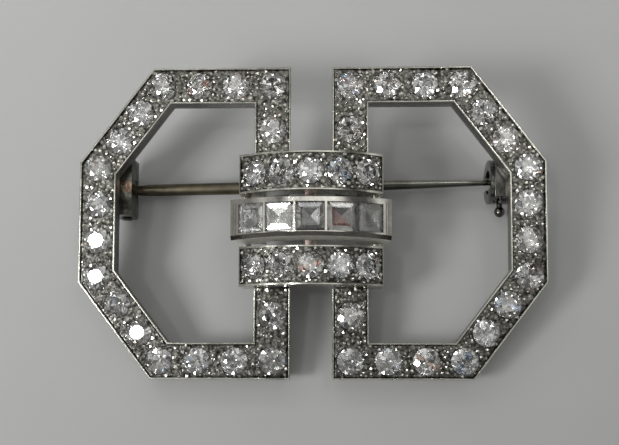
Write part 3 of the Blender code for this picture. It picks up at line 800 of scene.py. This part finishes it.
for side, label in ((-1.0, "left"), (1.0, "right")):
    rng = random.Random(SEEDS[label])
    profile, tags = plate_profile()
    bm = bmesh.new()
    sweep(bm, frame_path(side, STUB_Y), profile, tags)
    metals = [PLATINUM, SHADED_WALL, SHADED_GROUND, WALL_OUTER]
    plate = make("plate_" + label, bm, metals, "brooch", 30)
    seats = bmesh.new()
    grains = bmesh.new()
    for number, (spot, way) in enumerate(frame_stones(side), start=1):
        place = Matrix.Translation((spot.x, spot.y, GIRDLE_Z)) @ turn_to(way)
        seat(seats, STONE_D, GIRDLE_Z - PLATE_Z0 + SEAT_THROUGH, place)
        tilt = lean_of_stone(place, (label, number) in BRIGHT_TABLES, rng)
        spin = Matrix.Rotation(rng.uniform(0.0, math.pi), 4, "Z")
        stone = bmesh.new()
        old_cut(stone, STONE_D, place @ tilt @ spin, rng)
        name = "stone_%s_%02d" % (label, number)
        piece = make("cut_" + name, stone, [CROWN, *PAINTED_FACETS], "brooch")
        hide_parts(name)
    centres = [spot for spot, _ in frame_stones(side)]
    spots = strip_spots(frame_path(side, STUB_Y), GRAIN_REACH, rng)
    strew(grains, spots, centres, STONE_D / 2.0, rng, FLOOR_Z)
    cut(plate, seats)
    apply_modifiers(plate)
    lighten_outside(plate, side, 1, 3)
    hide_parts("frame_" + label)
    make("grains_" + label, grains, [GRAIN], "brooch")

# ---- bars -----------------------------------------------------------------------------
BAR_STONES = 5
BAR_STEPS = 64
BAR_CLEAR = BAR_RIM * 1.7
BAR_TRIES = 1092
RECESS_TOP = 0.6 * MM
BAR_STONE_LIFT = 0.05 * MM
BAR_SEAT_ROOM = 0.12 * MM
MID_SLANT = 0.33 * MM


def arc_point(radius, centre_z, angle):
    return radius * math.sin(angle), centre_z + radius * math.cos(angle)


def arc(radius, centre_z, x_limit, sides):
    end = math.asin(x_limit / radius)
    steps = [end - 2.0 * end * i / sides for i in range(sides + 1)]
    return [arc_point(radius, centre_z, a) for a in steps]


def bar_body(bm, crown_z, radius, half_length, width, y, slant=0.0):
    """An arched bar; slant bevels its lower lip, which takes material 2."""
    centre_z = crown_z - radius
    inner_r = BAR_UNDER_Z - centre_z
    foot_out = half_length - BAR_END_DRAFT
    foot_in = foot_out - BAR_FOOT_LENGTH
    under = arc(inner_r, centre_z, foot_in, BAR_STEPS // 2)
    outline = arc(radius, centre_z, half_length, BAR_STEPS)
    outline += [(-foot_out, PLATE_Z0), (-foot_in, PLATE_Z0)]
    outline += list(reversed(under))
    outline += [(foot_in, PLATE_Z0), (foot_out, PLATE_Z0)]
    tags = [0] * BAR_STEPS + [1] * (len(outline) - BAR_STEPS)
    rings = []
    if slant:
        low = arc(radius - slant, centre_z, half_length, BAR_STEPS)
        low += outline[BAR_STEPS + 1 :]
        ring = []
        for x, z in low:
            ring.append((x, y - width / 2.0 - BAR_SIDE_DRAFT * (crown_z - z), z))
        rings.append(ring)
    for side in (-1.0, 1.0):
        out = [width / 2.0 + BAR_SIDE_DRAFT * (crown_z - z) for _, z in outline]
        if slant and side < 0.0:
            out = [o - slant for o in out]
        rings.append([(x, y + side * o, z) for (x, z), o in zip(outline, out)])
    loft(bm, rings, tags=tags)
    bm.faces.ensure_lookup_table()
    # the last two faces are the long side walls, the lower one first
    for face in bm.faces[-2:]:
        face.material_index = 1
    if slant:
        # the lower long wall of the middle bar takes material 3, its painted light
        bm.faces[-2].material_index = 3
        for face in bm.faces[:BAR_STEPS]:
            face.material_index = 2


def bar_places(radius, crown_z, y, pitch, lift=0.0):
    """The settings along a bar's arc, each upright on the arc."""
    out = []
    centre_z = crown_z - radius
    for i in range(BAR_STONES):
        angle = (i - BAR_STONES // 2) * pitch / radius
        x, z = arc_point(radius + lift, centre_z, angle)
        out.append(Matrix.Translation((x, y, z)) @ Matrix.Rotation(angle, 4, "Y"))
    return out


def bar_recess(bm, radius, crown_z, half_length, width, y):
    """A cutter for the sunk ground inside a side bar's rim."""
    centre_z = crown_z - radius
    end = math.asin(half_length / radius) - BAR_RIM / radius
    half = width / 2.0 - BAR_RIM
    rings = []
    for i in range(BAR_STEPS + 1):
        a = end - 2.0 * end * i / BAR_STEPS
        lo = arc_point(radius - BAR_RECESS, centre_z, a)
        hi = arc_point(radius + RECESS_TOP, centre_z, a)
        ring = [(lo, -half), (lo, half), (hi, half), (hi, -half)]
        rings.append([(p[0], y + v, p[1]) for p, v in ring])
    loft(bm, rings)


def bar_spots(y, rng):
    """Random places all over a side bar's ground, given along and across the bar."""
    radius = SIDE_RADIUS - BAR_RECESS
    centre_z = SIDE_CROWN_Z - SIDE_RADIUS
    reach = SIDE_RADIUS * math.asin(SIDE_HALF_LENGTH / SIDE_RADIUS) - BAR_CLEAR
    half = SIDE_WIDTH / 2.0 - BAR_CLEAR
    for _ in range(BAR_TRIES):
        along = rng.uniform(-reach, reach)
        across = rng.uniform(-half, half)
        angle = along / SIDE_RADIUS
        x, z = arc_point(radius, centre_z, angle)
        place = Matrix.Translation((x, y + across, z)) @ Matrix.Rotation(angle, 4, "Y")
        yield Vector((along, y + across)), place


for label, y in (("upper", BAR_PITCH), ("lower", -BAR_PITCH)):
    rng = random.Random(SEEDS[label])
    bm = bmesh.new()
    bar_body(bm, SIDE_CROWN_Z, SIDE_RADIUS, SIDE_HALF_LENGTH, SIDE_WIDTH, y)
    bar = make("arch_" + label, bm, [PLATINUM, BAR_WALL, SHADED_GROUND], "brooch")
    recess = bmesh.new()
    bar_recess(recess, SIDE_RADIUS, SIDE_CROWN_Z, SIDE_HALF_LENGTH, SIDE_WIDTH, y)
    for face in recess.faces:
        face.material_index = 2
    cut(bar, recess)
    seats = bmesh.new()
    grains = bmesh.new()
    lift = BAR_STONE_LIFT - BAR_RECESS
    for number, place in enumerate(
        bar_places(SIDE_RADIUS, SIDE_CROWN_Z, y, SIDE_STONE_PITCH, lift), start=1
    ):
        seat(seats, BAR_STONE_D, BAR_STONE_D * PAVILION + BAR_SEAT_ROOM, place)
        tilt = lean_of_stone(place, False, rng)
        spin = Matrix.Rotation(rng.uniform(0.0, math.pi), 4, "Z")
        stone = bmesh.new()
        old_cut(stone, BAR_STONE_D, place @ tilt @ spin, rng)
        name = "cut_stone_%s_%02d" % (label, number)
        piece = make(name, stone, [CROWN, *PAINTED_FACETS], "brooch")
        if number == 1:
            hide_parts("stone_row_" + label)
    steps = [i - BAR_STONES // 2 for i in range(BAR_STONES)]
    centres = [Vector((step * SIDE_STONE_PITCH, y)) for step in steps]
    strew(grains, bar_spots(y, rng), centres, BAR_STONE_D / 2.0, rng, 0.0)
    cut(bar, seats)
    apply_modifiers(bar)
    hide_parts("bar_" + label)
    make("grains_" + label, grains, [GRAIN], "brooch")

bm = bmesh.new()
bar_body(bm, MID_CROWN_Z, MID_RADIUS, MID_HALF_LENGTH, MID_WIDTH, 0.0, MID_SLANT)
metals = [CHANNEL, BAR_WALL, BAR_SHADE, BAR_WALL_PAINTED_LIGHT]
bar = make("arch_middle", bm, metals, "brooch")
seats = bmesh.new()
# for each square stone the tones of its painted reflections, on its point's four faces, then on the
# ring around it:
# 1 white, 2 pale, 3 grey, 4 black, 5 red, 6 smoke, from the lower side anticlockwise
CARRE_PAINTED_TONES = (
    (3, 2, 6, 6, 6, 3, 3, 2),
    (2, 2, 3, 3, 3, 3, 3, 3),
    (6, 3, 4, 6, 4, 6, 6, 6),
    (5, 6, 4, 5, 2, 3, 2, 3),
    (3, 3, 3, 3, 3, 3, 3, 6),
)
CARRE_SINK = -0.05 * MM
CARRE_SEAT_FOOT = 0.40
CARRE_SEAT_Z = (-CARRE_DEPTH - 0.15 * MM, -0.40 * MM, 0.80 * MM)
GROOVES_ALONG = (7.02 * MM, 7.30 * MM)
GROOVE = (0.07 * MM, MID_WIDTH - 0.5 * MM, 0.24 * MM)
for number, place in enumerate(
    bar_places(MID_RADIUS, MID_CROWN_Z, 0.0, MID_STONE_PITCH, CARRE_SINK), start=1
):
    h = CARRE / 2.0 + SEAM
    rings = zip((CARRE_SEAT_FOOT * h, h, h), CARRE_SEAT_Z)
    loft(seats, [square_ring(half, z, place) for half, z in rings])
    stone = bmesh.new()
    carre(stone, place, CARRE_PAINTED_TONES[number - 1])
    name = "stone_square_%02d" % number
    piece = make("cut_" + name, stone, [SQUARE_CROWN, *PAINTED_STEPS], "brooch")
    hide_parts(name)
for side in (-1.0, 1.0):
    for along in GROOVES_ALONG:
        angle = side * along / MID_RADIUS
        x, z = arc_point(MID_RADIUS, MID_CROWN_Z - MID_RADIUS, angle)
        groove = Matrix.Translation((x, 0.0, z)) @ Matrix.Rotation(angle, 4, "Y")
        groove = groove @ Matrix.Diagonal((*GROOVE, 1.0))
        bmesh.ops.create_cube(seats, size=1.0, matrix=groove)
cut(bar, seats)
apply_modifiers(bar)
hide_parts("bar_middle")


# ---- plain metal nodes: softened copies of the CAD solids ---------------------------------
def refine(node, mat, body, slot, width):
    """A copy of a CAD solid with rounded edges and smooth curved faces."""
    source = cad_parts[node]
    bm = bmesh.new()
    bm.from_mesh(source.data)
    bmesh.ops.remove_doubles(bm, verts=bm.verts, dist=MERGE_DISTANCE)
    bmesh.ops.dissolve_limit(bm, angle_limit=FLAT_ANGLE, verts=bm.verts, edges=bm.edges)
    mesh = bpy.data.meshes.new(node + "_fine")
    bm.to_mesh(mesh)
    bm.free()
    mesh.materials.append(mat)
    obj = bpy.data.objects.new(node + "_fine", mesh)
    bpy.context.scene.collection.objects.link(obj)
    bevel(obj, width)
    apply_modifiers(obj)
    obj.data.shade_smooth()
    obj.data.set_sharp_from_angle(angle=SHARP_ANGLE)
    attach(obj, body)
    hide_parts(node)
    return obj


EDGE = 0.05 * MM
FINE_EDGE = 0.03 * MM
ROUND_EDGE = 0.20 * MM

for node, mat, slot, width in (
    ("bridge_rail_left", RAIL_SHADED, "platinum_setting", EDGE),
    ("bridge_rail_right", PLATINUM, "platinum_setting", EDGE),
    ("bridge_rail_centre", RAIL_BROWN, "platinum_setting", EDGE),
    ("hinge_base", HINGE, "fitting_grey", ROUND_EDGE),
    ("hinge_rivet", FITTING, "fitting_grey", FINE_EDGE),
    ("catch_base", FITTING, "fitting_grey", EDGE),
    ("catch_ring", FITTING, "fitting_grey", EDGE),
):
    refine(node, mat, "brooch", slot, width)
for side, label in ((-1.0, "left"), (1.0, "right")):
    gallery = refine("gallery_" + label, SHADED_GALLERY, "brooch", "platinum_gallery", EDGE)
    gallery.data.materials.append(WALL_OUTER)
    lighten_outside(gallery, side, 0, 1)
refine("pin_stem", PIN, "pin", "pin_white_gold", FINE_EDGE)
refine("catch_roller", FITTING, "roller", "fitting_grey", FINE_EDGE)


# ---- floor --------------------------------------------------------------------------------
FLOOR_HALF = 1.2
FLOOR_DROP = 0.02 * MM
PAINTED_LIGHT_PER_METRE = (0.6, 6.7, 0.0)
PAINTED_LIGHT_LIMIT = 0.4


def paper_material():
    """Pale matt card with painted light: brighter towards its far side."""
    s = Shader("floor_paper", Roughness=0.9)
    clouds = s.noise(PAPER_CLOUDS)
    tone = s.ramp(clouds, [(0.3, (0.388, 0.392, 0.389)), (0.7, (0.403, 0.407, 0.405))])
    # painted light: the card's tone grows brighter towards its far side and a little to the right
    painted_light = s.along(PAINTED_LIGHT_PER_METRE)
    gain = s.fade(painted_light, -PAINTED_LIGHT_LIMIT, PAINTED_LIGHT_LIMIT, 1.0 - PAINTED_LIGHT_LIMIT, 1.0 + PAINTED_LIGHT_LIMIT)
    s.drive("Base Color", s.scaled(tone, gain))
    s.drive("Normal", s.bump(s.noise(PAPER_FIBRES), 0.15, PAPER_FIBRE_DEPTH))
    return s.mat


bm = bmesh.new()
bmesh.ops.create_grid(bm, x_segments=1, y_segments=1, size=FLOOR_HALF)
mesh = bpy.data.meshes.new("floor")
bm.to_mesh(mesh)
bm.free()
mesh.materials.append(paper_material())
floor = bpy.data.objects.new("floor", mesh)
floor.location = (0.0, 0.0, -FLOOR_DROP)
bpy.context.scene.collection.objects.link(floor)


# ---- lamps: places and widths in metres, power in watts -------------------------------------
def area_light(name, at, target, size, power):
    data = bpy.data.lights.new(name, "AREA")
    data.shape = "RECTANGLE"
    data.size = size
    data.size_y = size
    data.energy = power
    obj = bpy.data.objects.new(name, data)
    obj.location = at
    aim = Vector(target) - Vector(at)
    obj.rotation_euler = aim.to_track_quat("-Z", "Y").to_euler()
    bpy.context.scene.collection.objects.link(obj)


KEY_AT = (-0.109, -0.061, 0.112)
KEY_AIM = (0.0, 0.0, 0.004)
FAR_AT = (0.10, 0.05, 0.30)
LAMP_AIM = (0.0, 0.0, 0.006)
area_light("key_window", KEY_AT, KEY_AIM, size=0.046, power=0.152)
area_light("ceiling_lamp", LEAN @ LAMP_FLAT, LAMP_AIM, size=0.024, power=0.06)
area_light("far_lamp", FAR_AT, LAMP_AIM, size=0.02, power=0.03)

GLINT_DISTANCE = 0.25
GLINT_SIZE = 0.014


def glint_lamp(name, place, facet, power):
    """A small far lamp that one facet mirrors straight into the camera."""
    at = place.translation
    normal = (place.to_3x3() @ facet).normalized()
    view = (CAMERA_FLAT - at).normalized()
    way = 2.0 * normal.dot(view) * normal - view
    area_light(name, LEAN @ (at + way * GLINT_DISTANCE), LEAN @ at, GLINT_SIZE, power)


squares = bar_places(MID_RADIUS, MID_CROWN_Z, 0.0, MID_STONE_PITCH)
facet_run = CARRE / 2.0 * (CARRE_STEP - CARRE_TABLE)
upper_facet = Vector((0.0, CARRE_TABLE_RISE, facet_run))
lower_facet = Vector((0.0, -CARRE_TABLE_RISE, facet_run))
glint_lamp("glint_upper", squares[1], upper_facet, power=0.020)
glint_lamp("glint_third", squares[2], upper_facet, power=0.0022)
glint_lamp("glint_fourth", squares[3], upper_facet, power=0.0018)
glint_lamp("glint_lower", squares[1], lower_facet, power=0.020)

# ---- the room that the stones and the metal mirror --------------------------------------------
ROOM_STRENGTH = 0.48
PANEL_SCALE = 2.4
PANEL_LEVELS = ((0.41, 0.10), (0.47, 0.45), (0.53, 1.0), (0.60, 2.6))
PANEL_TINT = (1.0, 0.995, 0.96)
HORIZON_TONE = (0.62, 0.617, 0.595, 1.0)
# a range of directions and the factors at its two ends: brighter behind the brooch
# and to its right, and the plain tone near the horizon
SKY_BY_Y = (-0.25, 0.05, 0.60, 1.44)
SKY_BY_X = (-0.30, 0.30, 0.87, 0.99)
PANELS_BY_Z = (0.30, 0.50, 0.0, 1.0)

world = bpy.data.worlds.new("studio")
world.use_nodes = True
bpy.context.scene.world = world
tree = world.node_tree
background = tree.nodes["Background"]
around = tree.nodes.new("ShaderNodeTexCoord")
panels = tree.nodes.new("ShaderNodeTexNoise")
panels.inputs["Scale"].default_value = PANEL_SCALE
panels.inputs["Detail"].default_value = 1.0
tree.links.new(around.outputs["Generated"], panels.inputs["Vector"])
levels = tree.nodes.new("ShaderNodeValToRGB")
band = levels.color_ramp
for at, _ in PANEL_LEVELS[1:-1]:
    band.elements.new(at)
for element, (at, value) in zip(band.elements, PANEL_LEVELS):
    element.position = at
    element.color = (*(value * tint for tint in PANEL_TINT), 1.0)
tree.links.new(panels.outputs["Fac"], levels.inputs["Fac"])
split = tree.nodes.new("ShaderNodeSeparateXYZ")
tree.links.new(around.outputs["Generated"], split.inputs["Vector"])


def by_direction(axis, low, high, at_low, at_high):
    """A factor that changes evenly between two values of a direction's axis."""
    made = tree.nodes.new("ShaderNodeMapRange")
    values = (("From Min", low), ("From Max", high), ("To Min", at_low), ("To Max", at_high))
    for key, value in values:
        made.inputs[key].default_value = value
    tree.links.new(split.outputs[axis], made.inputs["Value"])
    return made.outputs["Result"]


def scaled(colour, factor):
    made = tree.nodes.new("ShaderNodeVectorMath")
    made.operation = "SCALE"
    tree.links.new(colour, made.inputs[0])
    tree.links.new(factor, made.inputs["Scale"])
    return made.outputs["Vector"]


sky = scaled(levels.outputs["Color"], by_direction("Y", *SKY_BY_Y))
sky = scaled(sky, by_direction("X", *SKY_BY_X))
plain = tree.nodes.new("ShaderNodeMix")
plain.data_type = "RGBA"
plain.inputs[6].default_value = HORIZON_TONE
tree.links.new(by_direction("Z", *PANELS_BY_Z), plain.inputs[0])
tree.links.new(sky, plain.inputs[7])
tree.links.new(plain.outputs[2], background.inputs["Color"])
background.inputs["Strength"].default_value = ROOM_STRENGTH

# ---- camera -----------------------------------------------------------------------------------
AIM_FLAT = Vector((-0.146 * MM, -5.63 * MM, 7.1 * MM))
LENS = 45.85
SENSOR = 36.0
SHIFT_UP = 0.10

bpy.context.scene.view_settings.view_transform = "Standard"
lens = bpy.data.cameras.new("camera")
lens.sensor_width = SENSOR
lens.lens = LENS
lens.shift_y = SHIFT_UP
lens.clip_start = 0.001
lens.clip_end = 10.0
camera = bpy.data.objects.new("camera", lens)
camera.location = LEAN @ CAMERA_FLAT
look = (LEAN @ CAMERA_FLAT - LEAN @ AIM_FLAT).normalized()
right = (LEAN.to_3x3() @ Vector((1.0, 0.0, 0.0))).normalized()
up = look.cross(right).normalized()
right = up.cross(look).normalized()
camera.rotation_euler = Matrix((right, up, look)).transposed().to_euler()
bpy.context.scene.collection.objects.link(camera)
bpy.context.scene.camera = camera
